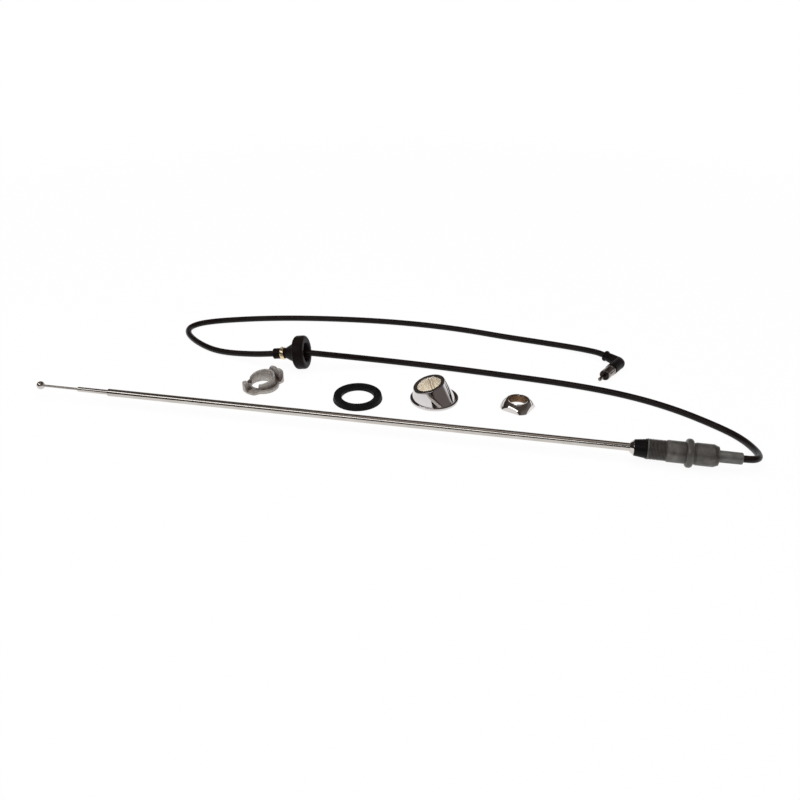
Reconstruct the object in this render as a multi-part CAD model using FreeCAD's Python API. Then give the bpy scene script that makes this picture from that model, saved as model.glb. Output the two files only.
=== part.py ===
import FreeCAD, Part
import math
import os

# Car antenna with a three-section telescopic mast, its lead and its loose fixing set.
# It lies as on a table: +X runs along the mast towards the tail, +Z is up, the table is z = 0.
# While it is built, x = 0 is the front of the mast ferrule and y = 0 is the mast's axis.

# Fits
press_clearance = 0.03       # radial, between pieces pressed or crimped together
slide_clearance = 0.05       # radial, between mast sections that slide

# Mast
outer_tube_diameter = 6.2
outer_tube_wall = 0.45
middle_tube_diameter = 4.1
middle_tube_wall = 0.42
middle_tube_showing = 27.6
middle_tube_length = 446.0
middle_end_room = 43.6       # from the middle tube's inner end to the ferrule's end
whip_diameter = 2.0
whip_showing = 34.5          # from the middle tube's mouth to the middle of the ball
whip_length = 446.0
ball_diameter = 7.0
ball_socket_depth = 3.0
ball_socket_clearance = 0.08
mouth_length = 1.2           # rolled-in mouth that guides the next section
mouth_chamfer = 0.35
bush_length = 18.0
bush_slot_width = 0.6

# Ferrule that carries the mast, and the insulator round it
ferrule_cone_length = 3.2
ferrule_cone_diameter = 12.5
ferrule_nose_wall = 0.5
ferrule_shank_diameter = 9.2
ferrule_length = 36.0
collar_length = 9.4
collar_front_diameter = 12.5
collar_rear_diameter = 14.6
collar_lip_diameter = 15.4
collar_lip_length = 1.0
insulator_bush_diameter = 12.0

# Base body
thread_diameter = 16.0
thread_length = 14.7
thread_chamfer = 0.6
plain_diameter = 16.8
plain_length = 13.3
flange_diameter = 22.0
flange_length = 5.6
flange_rounding = 2.5
groove_diameter = 16.4
groove_length = 1.8
rear_diameter = 17.2
rear_length = 12.8
crimp_length = 2.4
crimp_diameter = 15.4
cavity_diameter = 13.4
keyway_width = 3.0
keyway_depth = 1.1
keyway_length = 21.0
keyway_angle = -105.0        # degrees round the axis, from the side away from the viewer

# Inside the base, and its tail
terminal_head_length = 2.0
terminal_stem_diameter = 2.8
terminal_length = 11.0       # head and stem
rear_insulator_length = 6.0
core_diameter = 0.9
sleeve_flange_length = 2.6
sleeve_diameter = 9.3
sleeve_end_diameter = 9.0
sleeve_end_rounding = 0.8
sleeve_length = 17.4         # behind the end ring
end_ring_diameter = 14.8
end_ring_length = 1.2
end_ring_spigot_length = 3.0
end_ring_chamfer = 0.3

# Lead: offsets in x and y from where it leaves the tail sleeve, and heights above the table
cable_diameter = 5.5
lie = cable_diameter / 2
route = [
    (0, 0, flange_diameter / 2), (5.7, 0, flange_diameter / 2), (10.5, 2.9, 10.1), (13.3, 8.1, 8.8),
    (13.6, 16.6, 7.1), (11.6, 26.6, 5.3), (7.2, 38.4, 3.6), (-1.4, 50.2, lie),
    (-19.5, 64.1, lie), (-40.5, 77.8, lie), (-68, 90.6, lie), (-102, 100.3, lie),
    (-144, 106.8, lie), (-190, 110.7, lie), (-226, 113.7, lie), (-256, 115.3, 2.9),
    (-290.4, 112.9, 5), (-323, 104.1, 10.2), (-350.5, 95.5, 15), (-366.8, 94.6, 15.6),
    (-401.8, 93.9, 10.6), (-416.6, 95.9, 8.1), (-438.3, 101, 4.5), (-455, 105.6, 3.2),
    (-470, 113.4, lie), (-485, 124.3, lie), (-496, 136.5, lie), (-499.5, 148.6, lie),
    (-493.6, 159.2, lie), (-479.6, 167.6, lie), (-460, 175.2, lie), (-434, 183.3, lie),
    (-400, 190.9, lie), (-358, 196.8, lie), (-313, 200.2, lie), (-270, 199.7, lie),
    (-232, 195.8, lie), (-195, 188.6, lie), (-170, 184.8, lie), (-148, 180.9, 3),
    (-130, 176.2, 3.8), (-116, 170.2, 5.2), (-104.3, 163.9, 6.5), (-99.6, 160.2, 6.2)]
arc_share = 0.45             # of the shorter run beside a bend, taken up by its arc

# Grommet on the lead
grommet_run = 19             # the run of the route, counted from 0, that the grommet sits on
grommet_offset = 8.0         # from that run's far end to the end of the neck
neck_diameter = 9.6
neck_length = 12.0
grommet_cone_diameter = 18.4
grommet_cone_length = 8.0
grommet_web = 1.6
disc_diameter = 30.2
disc_length = 9.7
disc_rounding = 2.6
mouth_diameter = 16.6
mouth_floor_diameter = 11.0
mouth_depth = 12.0
mouth_edge = 1.4
band_length = 3.9
band_offset = 6.7            # from the end of the neck
band_wall = 0.5
band_ear_diameter = 1.8
band_ear_length = 3.0

# Right-angle plug
boot_length = 16.5           # from its end to the plug's corner
boot_end_diameter = 8.0
boot_root_diameter = 9.8
boot_lip_length = 1.8
boot_lip_diameter = 9.8
plug_heading = -116.0        # the way that the pin points, level, in degrees from +X
barrel_diameter = 10.4
barrel_front = 18.5          # from the plug's corner along the pin
barrel_step_length = 2.6
barrel_step = 0.4
plug_sleeve_diameter = 9.5
plug_sleeve_wall = 0.5
plug_sleeve_front = 30.4
plug_sleeve_depth = 10.0     # seated inside the barrel
plug_ring_diameter = 10.2
plug_ring_length = 1.4
plug_slot_count = 6
plug_slot_width = 0.9
plug_slot_length = 6.5
plug_slot_from_front = 2.6
plug_slot_heading = 22.5
plug_insulator_length = 18.0
plug_insulator_recess = 0.4
pin_diameter = 2.4
pin_tip_diameter = 3.4
pin_tip_length = 4.2
pin_tip_rounding = 1.2
pin_reach = 40.5             # from the plug's corner to the pin's tip
pin_tail = 2.0               # behind the insulator

# Fixing set, each piece by its place from the ferrule's front
claw_place = (-310.0, 54.0)
claw_heading = 60.0          # the way that its far ear points; spans are degrees from there
claw_bore = 19.0
claw_plate_diameter = 29.0
claw_plate_thickness = 3.5
claw_collar_wall = 1.8
claw_back_span = (12.0, 122.0)
claw_front_span = (212.0, 335.0)
claw_rim_height = 9.4        # middle of the collar's sloping rim
claw_rim_slope = 13.0        # degrees, rising to the far ear
claw_far_ear_reach = 19.8
claw_near_ear_reach = 17.8
claw_far_ear_span = (-30.0, 32.0)
claw_near_ear_span = (147.0, 211.0)
claw_tooth_inner_radius = 15.0
claw_tooth_span = (-25.0, 27.0)
claw_tooth_height = 11.0
claw_saddle_depth = 1.4      # dip in the middle of the tooth
claw_saddle_radius = 8.0
claw_hook_span = (151.0, 174.0)
claw_hook_height = 9.0
claw_rounding = 0.8

gasket_place = (-223.5, 49.0)
gasket_bore = 27.6
gasket_bottom_diameter = 42.3
gasket_top_diameter = 40.4
gasket_thickness = 3.6
gasket_lip_width = 1.6
gasket_lip_height = 0.8

pad_place = (-159.6, 61.3)
pad_heading = 201.0          # the way that its bore leans
pad_lean = 17.5
pad_bore = 19.8
pad_rim_diameter = 27.6
pad_rim_height = 15.4        # middle of the rim
pad_foot_diameter = 37.8
pad_flange_diameter = 41.0
pad_flange_thickness = 1.1
pad_lip_width = 0.8
pad_lip_height = 0.9
pad_wall = 2.0
pad_key_width = 2.2
pad_key_depth = 0.9
pad_key_angle = -106.0

nut_place = (-89.0, 62.5)
nut_height = 6.9
nut_foot_diameter = 30.0
nut_top_diameter = 19.3
nut_bore = 15.0
nut_bore_chamfer = 0.5
nut_across_flats = 25.0
nut_flat_count = 4
nut_heading = 67.0
nut_slot_width = 2.4
nut_slot_depth = 1.2
nut_slot_heading = 81.0

# Values that follow
axis_height = flange_diameter / 2
outer_bore = outer_tube_diameter - 2 * outer_tube_wall
middle_bore = middle_tube_diameter - 2 * middle_tube_wall
outer_mouth_x = ferrule_length - middle_end_room - middle_tube_length + middle_tube_showing
middle_mouth_x = outer_mouth_x - middle_tube_showing
ball_x = middle_mouth_x - whip_showing
collar_x = ferrule_cone_length
body_x = collar_x + collar_length
plain_x = body_x + thread_length
flange_x = plain_x + plain_length
groove_x = flange_x + flange_length
rear_x = groove_x + groove_length
crimp_x = rear_x + rear_length
body_end_x = crimp_x + crimp_length
bush_end_x = ferrule_length + terminal_head_length
spigot_x = body_end_x - end_ring_spigot_length
sleeve_flange_x = spigot_x - sleeve_flange_length
sleeve_end_x = body_end_x + end_ring_length + sleeve_length
cable_exit = FreeCAD.Vector(sleeve_end_x, 0, 0)
X_AXIS = FreeCAD.Vector(1, 0, 0)
Y_AXIS = FreeCAD.Vector(0, 1, 0)
Z_AXIS = FreeCAD.Vector(0, 0, 1)
ORIGIN = FreeCAD.Vector(0, 0, 0)


def turned(outline, start=ORIGIN, direction=X_AXIS):
    """Solid of revolution: outline points are (distance along the axis, radius)."""
    points = [FreeCAD.Vector(along, radius, 0) for along, radius in outline]
    face = Part.Face(Part.makePolygon(points + points[:1]))
    solid = face.revolve(ORIGIN, X_AXIS, 360)
    solid.Placement = FreeCAD.Placement(start, FreeCAD.Rotation(X_AXIS, direction))
    return solid


def on_mast(outline):
    return turned(outline, FreeCAD.Vector(0, 0, axis_height))


def ring_outline(start, end, inner, outer):
    """Plain tube given by two diameters."""
    return [(start, inner / 2), (start, outer / 2), (end, outer / 2), (end, inner / 2)]


def rod_outline(start, end, diameter):
    return [(start, 0), (start, diameter / 2), (end, diameter / 2), (end, 0)]


def bar(size, corner):
    return Part.makeBox(size[0], size[1], size[2], FreeCAD.Vector(*corner))


def round_edges(solid, radius, wanted):
    edges = [edge for edge in solid.Edges if wanted(edge)]
    return solid.makeFillet(radius, edges)


def is_circle_of(edge, diameter):
    curve = edge.Curve
    return isinstance(curve, Part.Circle) and abs(curve.Radius - diameter / 2) < 1e-6


def placed(solid, place, heading=0.0):
    spin = FreeCAD.Rotation(Z_AXIS, heading)
    solid.Placement = FreeCAD.Placement(FreeCAD.Vector(place[0], place[1], 0), spin)
    return solid


def mast_tube(start, length, diameter, wall, inner_diameter):
    """Tube with its front end rolled in to guide the section inside it."""
    bore = diameter / 2 - wall
    mouth = inner_diameter / 2 + slide_clearance
    return on_mast([
        (start, mouth), (start, diameter / 2 - mouth_chamfer), (start + mouth_chamfer, diameter / 2),
        (start + length, diameter / 2), (start + length, bore), (start + mouth_length, bore),
        (start + mouth_length, mouth)])


def friction_bush(end, inner_diameter, bore):
    """Split brass sleeve on the inner end of a section, which drags in the bore outside it."""
    outer = bore - 2 * slide_clearance
    start = end - bush_length
    sleeve = on_mast(ring_outline(start, end, inner_diameter + 2 * press_clearance, outer))
    slot = bar((bush_length, bush_slot_width, outer), (start, -bush_slot_width / 2, axis_height))
    return sleeve.cut(slot)


def make_mast():
    outer_length = ferrule_length - outer_mouth_x
    middle_end = middle_mouth_x + middle_tube_length
    whip_start = ball_x + ball_diameter / 2 - ball_socket_depth
    whip_end = whip_start + whip_length
    centre = FreeCAD.Vector(ball_x, 0, axis_height)
    socket_diameter = whip_diameter + 2 * ball_socket_clearance
    socket = on_mast(rod_outline(whip_start, ball_x + ball_diameter, socket_diameter))
    return {
        "outer_tube": mast_tube(outer_mouth_x, outer_length, outer_tube_diameter, outer_tube_wall,
                                middle_tube_diameter),
        "middle_tube": mast_tube(middle_mouth_x, middle_tube_length, middle_tube_diameter,
                                 middle_tube_wall, whip_diameter),
        "middle_friction_bush": friction_bush(middle_end, middle_tube_diameter, outer_bore),
        "whip_rod": on_mast(rod_outline(whip_start, whip_end, whip_diameter)),
        "whip_friction_bush": friction_bush(whip_end, whip_diameter, middle_bore),
        "tip_ball": Part.makeSphere(ball_diameter / 2, centre).cut(socket),
    }


def make_ferrule():
    bore = outer_tube_diameter / 2 + press_clearance
    return on_mast([
        (0, bore), (0, bore + ferrule_nose_wall), (ferrule_cone_length, ferrule_cone_diameter / 2),
        (ferrule_cone_length, ferrule_shank_diameter / 2), (ferrule_length, ferrule_shank_diameter / 2),
        (ferrule_length, bore)])


def make_collar():
    bore = ferrule_shank_diameter / 2 + press_clearance
    lip_x = body_x - collar_lip_length
    return on_mast([
        (collar_x, bore), (collar_x, collar_front_diameter / 2), (lip_x, collar_rear_diameter / 2),
        (lip_x, collar_lip_diameter / 2), (body_x, collar_lip_diameter / 2),
        (body_x, insulator_bush_diameter / 2), (bush_end_x, insulator_bush_diameter / 2),
        (bush_end_x, bore)])


def make_base_body():
    """Turned body with a thread, a flange and a crimped rear edge, and a keyway for the bevel pad."""
    bore = insulator_bush_diameter / 2 + press_clearance
    body = on_mast([
        (body_x, bore), (body_x, thread_diameter / 2 - thread_chamfer),
        (body_x + thread_chamfer, thread_diameter / 2), (plain_x, thread_diameter / 2),
        (plain_x, plain_diameter / 2), (flange_x, plain_diameter / 2), (flange_x, flange_diameter / 2),
        (groove_x, flange_diameter / 2), (groove_x, groove_diameter / 2), (rear_x, groove_diameter / 2),
        (rear_x, rear_diameter / 2), (crimp_x, rear_diameter / 2), (body_end_x, crimp_diameter / 2),
        (body_end_x, cavity_diameter / 2), (bush_end_x, cavity_diameter / 2), (bush_end_x, bore)])
    body = round_edges(body, flange_rounding, lambda edge: is_circle_of(edge, flange_diameter))
    floor_radius = thread_diameter / 2 - keyway_depth
    key = bar((keyway_length, flange_diameter, keyway_width), (body_x, floor_radius, -keyway_width / 2))
    key.rotate(ORIGIN, X_AXIS, keyway_angle)
    key.translate(FreeCAD.Vector(0, 0, axis_height))
    return body.cut(key)


def make_base_inside():
    """Terminal on the ferrule's end, the insulator that holds it, and the lead's end in the tail."""
    stem_bore = terminal_stem_diameter + 2 * press_clearance
    head_diameter = ferrule_shank_diameter
    cavity_fit = cavity_diameter - 2 * press_clearance
    terminal_end = ferrule_length + terminal_length
    return {
        "contact_terminal": on_mast([
            (ferrule_length, 0), (ferrule_length, head_diameter / 2), (bush_end_x, head_diameter / 2),
            (bush_end_x, terminal_stem_diameter / 2), (terminal_end, terminal_stem_diameter / 2),
            (terminal_end, 0)]),
        "rear_insulator": on_mast(ring_outline(bush_end_x, bush_end_x + rear_insulator_length,
                                               stem_bore, cavity_fit)),
        "cable_core": on_mast(rod_outline(terminal_end, sleeve_flange_x, core_diameter)),
        "cable_end": on_mast(rod_outline(sleeve_flange_x, sleeve_end_x, cable_diameter)),
    }


def make_tail():
    bore = cable_diameter / 2 + press_clearance
    fit = cavity_diameter / 2 - press_clearance
    ring_end_x = body_end_x + end_ring_length
    ring_bore = sleeve_diameter / 2 + press_clearance
    sleeve = on_mast([
        (sleeve_flange_x, bore), (sleeve_flange_x, fit), (spigot_x, fit),
        (spigot_x, sleeve_diameter / 2), (ring_end_x, sleeve_diameter / 2),
        (sleeve_end_x, sleeve_end_diameter / 2), (sleeve_end_x, bore)])
    sleeve = round_edges(sleeve, sleeve_end_rounding, lambda edge: is_circle_of(edge, sleeve_end_diameter))
    ring = on_mast([
        (spigot_x, ring_bore), (spigot_x, fit), (body_end_x, fit), (body_end_x, end_ring_diameter / 2),
        (ring_end_x - end_ring_chamfer, end_ring_diameter / 2),
        (ring_end_x, end_ring_diameter / 2 - end_ring_chamfer), (ring_end_x, ring_bore)])
    return {"tail_sleeve": sleeve, "end_ring": ring}


def route_points():
    return [cable_exit + FreeCAD.Vector(*offset) for offset in route]


def make_cable():
    """Round lead along straight runs joined by arcs as large as the runs allow."""
    points = route_points()
    edges = []
    radii = []
    here = points[0]
    for before, corner, after in zip(points, points[1:], points[2:]):
        back = before - corner
        ahead = after - corner
        reach = arc_share * min(back.Length, ahead.Length)
        turn = math.pi - back.getAngle(ahead)
        radius = reach / math.tan(turn / 2)
        back.normalize()
        ahead.normalize()
        middle = back + ahead
        middle.normalize()
        start = corner + back * reach
        end = corner + ahead * reach
        top = corner + middle * (radius / math.cos(turn / 2) - radius)
        edges.append(Part.LineSegment(here, start).toShape())
        edges.append(Part.Arc(start, top, end).toShape())
        radii.append(radius)
        here = end
    edges.append(Part.LineSegment(here, points[-1]).toShape())
    path = Part.Wire(edges)
    section = Part.Wire(Part.makeCircle(cable_diameter / 2, points[0], points[1] - points[0]))
    tube = path.makePipeShell([section], True, False)
    expected = math.pi * cable_diameter ** 2 / 4 * path.Length
    print("lead radii", [round(radius, 1) for radius in radii])
    print("lead length", round(path.Length, 1), "volume over section times length", tube.Volume / expected)
    return tube


def make_grommet():
    """Rubber bell on the lead, with a neck, a brass band round the neck and a hollow mouth."""
    points = route_points()
    axis = points[grommet_run] - points[grommet_run + 1]
    axis.normalize()
    start = points[grommet_run + 1] + axis * grommet_offset
    bore = cable_diameter / 2 + press_clearance
    cone_end = neck_length + grommet_cone_length
    disc_start = cone_end + grommet_web
    face = disc_start + disc_length
    floor = face - mouth_depth
    grommet = turned([
        (0, bore), (0, neck_diameter / 2), (neck_length, neck_diameter / 2),
        (cone_end, grommet_cone_diameter / 2), (disc_start, disc_diameter / 2),
        (face, disc_diameter / 2), (face, mouth_diameter / 2 + mouth_edge),
        (face - mouth_edge, mouth_diameter / 2), (floor, mouth_floor_diameter / 2), (floor, bore)],
        start, axis)
    grommet = round_edges(grommet, disc_rounding, lambda edge: is_circle_of(edge, disc_diameter))
    inner = neck_diameter + 2 * press_clearance
    outer = inner + 2 * band_wall
    band = turned(ring_outline(band_offset, band_offset + band_length, inner, outer))
    for side in (-1, 1):
        ear_start = FreeCAD.Vector(band_offset + (band_length - band_ear_length) / 2, 0, side * outer / 2)
        ear = Part.makeCylinder(band_ear_diameter / 2, band_ear_length, ear_start, X_AXIS)
        band = band.fuse(ear)
    room = turned(rod_outline(band_offset - band_length, band_offset + 2 * band_length, inner))
    band = band.cut(room).removeSplitter()
    band.Placement = FreeCAD.Placement(start, FreeCAD.Rotation(X_AXIS, axis))
    return {"cable_grommet": grommet, "grommet_band": band}


def make_plug():
    """Right-angle plug: moulded boot and barrel, slotted sleeve, insulator and centre pin."""
    points = route_points()
    along = points[-1] - points[-2]
    along.normalize()
    corner = points[-1] + along * boot_length
    out = FreeCAD.Rotation(Z_AXIS, plug_heading).multVec(X_AXIS)
    barrel_bore = plug_sleeve_diameter / 2 + press_clearance
    seat = barrel_front - plug_sleeve_depth
    boot = turned([
        (0, 0), (0, boot_lip_diameter / 2), (boot_lip_length, boot_lip_diameter / 2),
        (boot_lip_length, boot_end_diameter / 2), (boot_length, boot_root_diameter / 2), (boot_length, 0)],
        points[-1], along)
    barrel = turned([
        (0, 0), (0, barrel_diameter / 2), (barrel_front - barrel_step_length, barrel_diameter / 2),
        (barrel_front - barrel_step_length, barrel_diameter / 2 - barrel_step),
        (barrel_front, barrel_diameter / 2 - barrel_step), (barrel_front, 0)], corner, out)
    elbow = Part.makeSphere(barrel_diameter / 2, corner)
    housing = barrel.fuse([elbow, boot]).removeSplitter()
    housing = housing.cut(turned(rod_outline(seat, barrel_front, 2 * barrel_bore), corner, out))

    inside = plug_sleeve_diameter / 2 - plug_sleeve_wall
    sleeve = turned([
        (seat, inside), (seat, plug_sleeve_diameter / 2), (barrel_front, plug_sleeve_diameter / 2),
        (barrel_front, plug_ring_diameter / 2), (barrel_front + plug_ring_length, plug_ring_diameter / 2),
        (barrel_front + plug_ring_length, plug_sleeve_diameter / 2),
        (plug_sleeve_front, plug_sleeve_diameter / 2), (plug_sleeve_front, inside)])
    slot_start = plug_sleeve_front - plug_slot_from_front - plug_slot_length
    for step in range(plug_slot_count):
        slot = bar((plug_slot_length, plug_sleeve_diameter, plug_slot_width),
                   (slot_start, 0, -plug_slot_width / 2))
        slot.rotate(ORIGIN, X_AXIS, plug_slot_heading + 360 * step / plug_slot_count)
        sleeve = sleeve.cut(slot)
    sleeve.Placement = FreeCAD.Placement(corner, FreeCAD.Rotation(X_AXIS, out))

    face = plug_sleeve_front - plug_insulator_recess
    pin_bore = pin_diameter + 2 * press_clearance
    insulator_start = face - plug_insulator_length
    insulator = turned(ring_outline(insulator_start, face, pin_bore, 2 * (inside - press_clearance)),
                       corner, out)
    tip_start = pin_reach - pin_tip_length
    pin = turned([
        (insulator_start - pin_tail, 0), (insulator_start - pin_tail, pin_diameter / 2),
        (tip_start, pin_diameter / 2), (tip_start, pin_tip_diameter / 2),
        (pin_reach, pin_tip_diameter / 2), (pin_reach, 0)], corner, out)
    pin = round_edges(pin, pin_tip_rounding, lambda edge: is_circle_of(edge, pin_tip_diameter)
                      and edge.Curve.Center.isEqual(corner + out * pin_reach, 1e-6))
    return {"plug_housing": housing, "plug_sleeve": sleeve, "plug_insulator": insulator, "plug_pin": pin}


def sector(radius, span, height):
    """Wedge of a disc between two angles from +X."""
    wedge = Part.makeCylinder(radius, height, ORIGIN, Z_AXIS, span[1] - span[0])
    wedge.rotate(ORIGIN, Z_AXIS, span[0])
    return wedge


def arc_wall(inner, outer, span, height):
    """Upright wall between two radii and two angles."""
    return sector(outer, span, height).cut(Part.makeCylinder(inner, height))


def make_claw():
    """Die-cast claw that bites under the wing: plate, two collar halves, a saddled tooth and a hook."""
    bore = claw_bore / 2
    collar_outer = bore + claw_collar_wall
    tooth = arc_wall(claw_tooth_inner_radius, claw_far_ear_reach, claw_tooth_span, claw_tooth_height)
    hook = arc_wall(claw_tooth_inner_radius, claw_near_ear_reach, claw_hook_span, claw_hook_height)
    tooth = round_edges(tooth, claw_rounding, lambda edge: is_circle_of(edge, 2 * claw_far_ear_reach)
                        and abs(edge.Curve.Center.z - claw_tooth_height) < 1e-6)
    hook = round_edges(hook, claw_rounding, lambda edge: is_circle_of(edge, 2 * claw_near_ear_reach)
                       and abs(edge.Curve.Center.z - claw_hook_height) < 1e-6)
    saddle_height = claw_tooth_height - claw_saddle_depth + claw_saddle_radius
    saddle_start = FreeCAD.Vector(0, 0, saddle_height)
    saddle = Part.makeCylinder(claw_saddle_radius, claw_far_ear_reach, saddle_start, X_AXIS)
    span = 2 * claw_plate_diameter
    above = bar((span, span, span), (-span / 2, -span / 2, 0))
    above.rotate(ORIGIN, Y_AXIS, -claw_rim_slope)
    above.translate(FreeCAD.Vector(0, 0, claw_rim_height))
    top = 2 * claw_rim_height
    plate = Part.makeCylinder(claw_plate_diameter / 2, claw_plate_thickness)
    claw = plate.fuse([
        sector(claw_far_ear_reach, claw_far_ear_span, claw_plate_thickness),
        sector(claw_near_ear_reach, claw_near_ear_span, claw_plate_thickness),
        tooth.cut(saddle), hook,
        arc_wall(bore, collar_outer, claw_back_span, top).cut(above),
        arc_wall(bore, collar_outer, claw_front_span, top).cut(above)])
    claw = claw.cut(Part.makeCylinder(bore, top)).removeSplitter()
    return placed(claw, claw_place, claw_heading)


def make_gasket():
    """Rubber ring with a sloping side and a thin lip round its top."""
    top = gasket_thickness + gasket_lip_height
    gasket = turned([
        (0, gasket_bore / 2), (0, gasket_bottom_diameter / 2), (top, gasket_top_diameter / 2),
        (top, gasket_top_diameter / 2 - gasket_lip_width / 2),
        (gasket_thickness, gasket_top_diameter / 2 - gasket_lip_width),
        (gasket_thickness, gasket_bore / 2)], ORIGIN, Z_AXIS)
    gasket.translate(FreeCAD.Vector(gasket_place[0], gasket_place[1], 0))
    return gasket


def make_pad():
    """Bevelled pad: an oblique cone from a round foot to a leaning rim, hollow below, with a key."""
    lean = FreeCAD.Rotation(Y_AXIS, pad_lean)
    axis = lean.multVec(Z_AXIS)
    rim_middle = axis * (pad_rim_height / axis.z)

    def oblique_cone(foot_diameter, foot_height, rim_diameter, drop):
        foot = Part.makeCircle(foot_diameter / 2, FreeCAD.Vector(0, 0, foot_height))
        rim = Part.makeCircle(rim_diameter / 2, rim_middle - axis * drop, axis)
        return Part.makeLoft([Part.Wire(foot), Part.Wire(rim)], True, True)

    reach = 2 * pad_rim_height
    flange = Part.makeCylinder(pad_flange_diameter / 2, pad_flange_thickness + pad_lip_height)
    dish = Part.makeCylinder(pad_flange_diameter / 2 - pad_lip_width, pad_lip_height,
                             FreeCAD.Vector(0, 0, pad_flange_thickness))
    pad = flange.cut(dish).fuse(oblique_cone(pad_foot_diameter, 0, pad_rim_diameter, 0))
    pocket = oblique_cone(pad_foot_diameter - 2 * pad_wall, 0, pad_rim_diameter - 2 * pad_wall, pad_wall)
    post = Part.makeCylinder(pad_bore / 2 + pad_wall, 2 * reach, axis * -reach, axis)
    bore = Part.makeCylinder(pad_bore / 2, 2 * reach, axis * -reach, axis)
    key = bar((pad_key_depth + pad_wall, pad_key_width, 2 * reach),
              (pad_bore / 2 - pad_key_depth, -pad_key_width / 2, -reach))
    key.rotate(ORIGIN, Z_AXIS, pad_key_angle)
    key.Placement = FreeCAD.Placement(ORIGIN, lean).multiply(key.Placement)
    body = pad.cut(pocket.cut(post)).cut(bore)
    whole = pad.common(key)
    return placed(body.fuse(whole).removeSplitter(), pad_place, pad_heading)


def make_nut():
    """Chromed dome nut with arched flats and two slots for a pin spanner."""
    foot = nut_foot_diameter / 2
    top = nut_top_diameter / 2
    below = (foot ** 2 - top ** 2 - nut_height ** 2) / (2 * nut_height)
    dome = Part.makeSphere(math.hypot(foot, below), FreeCAD.Vector(0, 0, -below))
    ring = turned([
        (0, nut_bore / 2), (0, foot), (nut_height, foot), (nut_height, nut_bore / 2 + nut_bore_chamfer),
        (nut_height - nut_bore_chamfer, nut_bore / 2)], ORIGIN, Z_AXIS)
    nut = ring.common(dome)
    for step in range(nut_flat_count):
        waste = bar((nut_foot_diameter, nut_foot_diameter, nut_height),
                    (nut_across_flats / 2, -nut_foot_diameter / 2, 0))
        waste.rotate(ORIGIN, Z_AXIS, 360 * step / nut_flat_count)
        nut = nut.cut(waste)
    slot = bar((nut_foot_diameter, nut_slot_width, nut_slot_depth),
               (-nut_foot_diameter / 2, -nut_slot_width / 2, nut_height - nut_slot_depth))
    slot.rotate(ORIGIN, Z_AXIS, nut_slot_heading - nut_heading)
    return placed(nut.cut(slot), nut_place, nut_heading)


def build():
    """All pieces by name, first the antenna with its fixing set, then what is on the lead."""
    antenna = make_mast()
    antenna["mast_ferrule"] = make_ferrule()
    antenna["insulator_collar"] = make_collar()
    antenna["base_body"] = make_base_body()
    antenna.update(make_base_inside())
    antenna.update(make_tail())
    antenna["clamp_claw"] = make_claw()
    antenna["rubber_gasket"] = make_gasket()
    antenna["bevel_pad"] = make_pad()
    antenna["fixing_nut"] = make_nut()
    lead = {"antenna_cable": make_cable()}
    lead.update(make_grommet())
    lead.update(make_plug())
    return antenna, lead


antenna, lead = build()

# The origin is on the table, in the middle of the antenna and its fixing set, without the lead.
box = Part.makeCompound(list(antenna.values())).optimalBoundingBox(True, False)
origin_shift = FreeCAD.Vector(-box.Center.x, -box.Center.y, -box.ZMin)
print("origin shift", origin_shift)

os.makedirs("parts", exist_ok=True)
for name, shape in {**antenna, **lead}.items():
    moved = shape.copy()
    moved.translate(origin_shift)
    moved.exportStep("parts/" + name + ".step")
    print(name, moved.isValid(), len(moved.Solids), round(moved.Volume, 1))
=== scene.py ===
import math

import bmesh
import bpy
import numpy as np
from mathutils import Matrix, Vector


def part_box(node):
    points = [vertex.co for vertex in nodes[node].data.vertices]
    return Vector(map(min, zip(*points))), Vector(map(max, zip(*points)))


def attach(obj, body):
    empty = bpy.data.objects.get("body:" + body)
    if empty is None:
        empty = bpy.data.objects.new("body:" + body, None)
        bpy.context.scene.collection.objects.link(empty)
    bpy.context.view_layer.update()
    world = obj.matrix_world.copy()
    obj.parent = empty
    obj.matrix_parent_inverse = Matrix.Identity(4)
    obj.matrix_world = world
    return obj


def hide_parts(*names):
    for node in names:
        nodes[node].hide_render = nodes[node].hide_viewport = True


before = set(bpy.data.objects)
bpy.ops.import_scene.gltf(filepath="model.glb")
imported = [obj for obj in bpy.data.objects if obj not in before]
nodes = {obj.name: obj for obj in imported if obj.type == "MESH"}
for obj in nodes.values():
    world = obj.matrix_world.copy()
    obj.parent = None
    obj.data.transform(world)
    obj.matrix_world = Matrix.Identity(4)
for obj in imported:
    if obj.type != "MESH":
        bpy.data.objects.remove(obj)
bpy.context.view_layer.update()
print("frame loaded:", len(nodes), "nodes")

mm = 0.001


# places taken from the frame
tubeLow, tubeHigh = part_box("outer_tube")
tubeMiddle = (tubeLow + tubeHigh) / 2
ferruleFront = Vector((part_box("mast_ferrule")[0].x, tubeMiddle.y, tubeMiddle.z))
cableExit = Vector((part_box("tail_sleeve")[1].x, ferruleFront.y, 0))
mastAxis = Vector((1, 0, 0))
up = Vector((0, 0, 1))


# grid surfaces
joining = dict(within=1e-6, tinyEdge=1e-7)    # metres


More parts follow.
